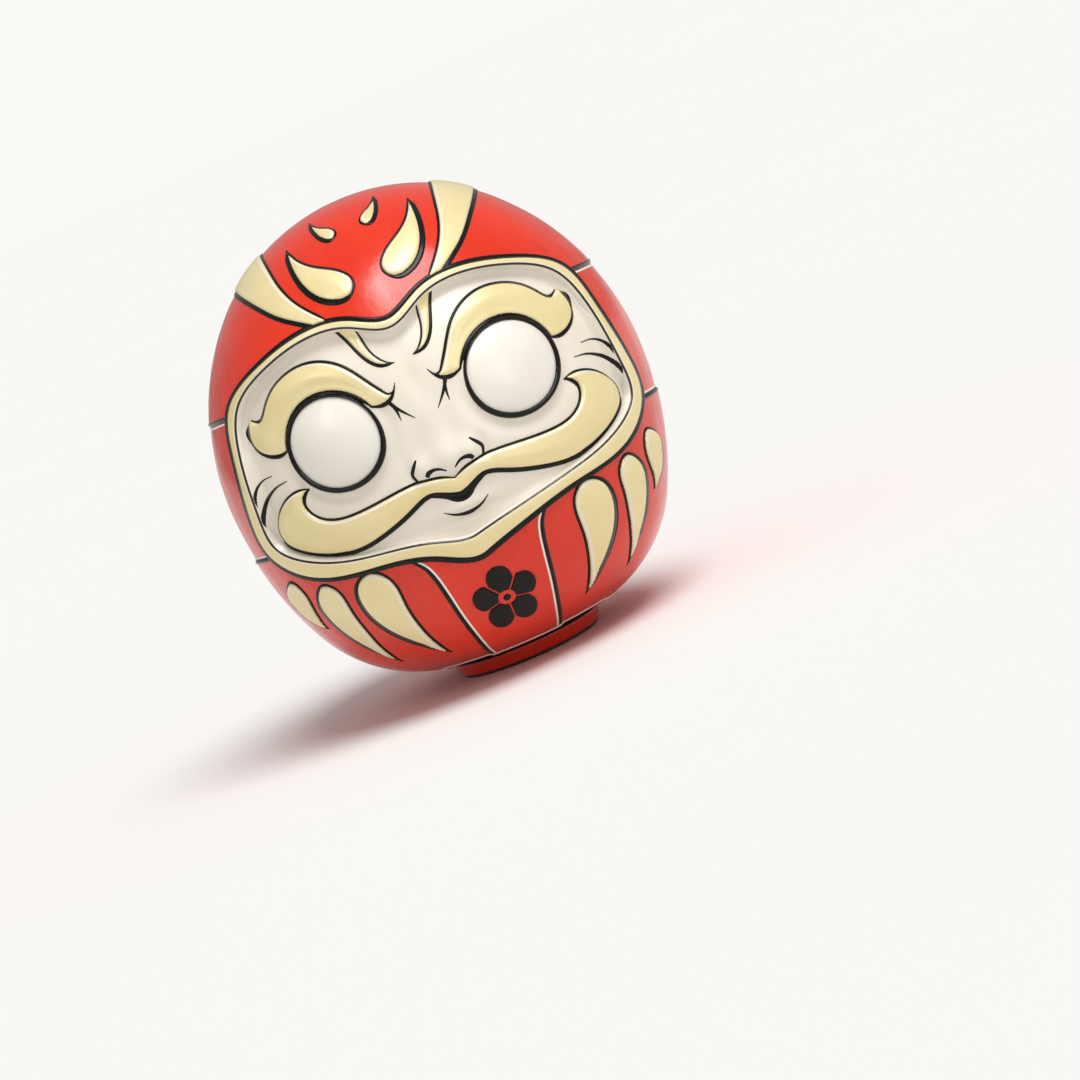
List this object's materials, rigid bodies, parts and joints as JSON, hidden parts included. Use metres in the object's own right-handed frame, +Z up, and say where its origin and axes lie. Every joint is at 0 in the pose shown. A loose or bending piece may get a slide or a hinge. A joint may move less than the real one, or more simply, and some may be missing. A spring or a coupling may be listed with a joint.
{
  "type": "daruma doll",
  "caption": "Round hollow self-righting doll in a hooded robe, with a moustached face in a window, raised gilded relief, and a weighted bottom on a low round foot.",
  "frame": {"origin": "middle of the underside, on the surface that the doll stands on", "axes": "+Z up; the face looks along -Y; +X is the doll's own left"},
  "size_m": [0.104, 0.104, 0.114],
  "materials": {
    "robe_red": "gloss",
    "face_ivory": "satin",
    "relief_gold": "gloss",
    "relief_ivory": "gloss",
    "relief_black": "gloss",
    "raw_paper": "matte",
    "weight_clay": "matte",
    "foot_wood": "gloss"
  },
  "bodies": {
    "root": {"back_shell": "robe_red", "base_weight": "weight_clay", "belly_emblem": "relief_black", "bottom_paper": "raw_paper", "face_mask": "face_ivory", "face_rim": "relief_gold", "foot": "foot_wood", "front_shell": "robe_red", "left_brow": "relief_gold", "left_crown_band": "relief_gold", "left_crown_flame": "relief_gold", "left_crown_spark": "relief_gold", "left_eye": "relief_ivory", "left_eye_ring": "relief_black", "left_forelock": "relief_gold", "left_inner_belly_flame": "relief_gold", "left_middle_belly_flame": "relief_gold", "left_outer_belly_flame": "relief_gold", "moustache": "relief_gold", "nose": "relief_ivory", "right_brow": "relief_gold", "right_crown_band": "relief_gold", "right_crown_flame": "relief_gold", "right_crown_spark": "relief_gold", "right_eye": "relief_ivory", "right_eye_ring": "relief_black", "right_forelock": "relief_gold", "right_inner_belly_flame": "relief_gold", "right_middle_belly_flame": "relief_gold", "right_outer_belly_flame": "relief_gold", "seam_strip": "raw_paper"}
  },
  "joints": []
}
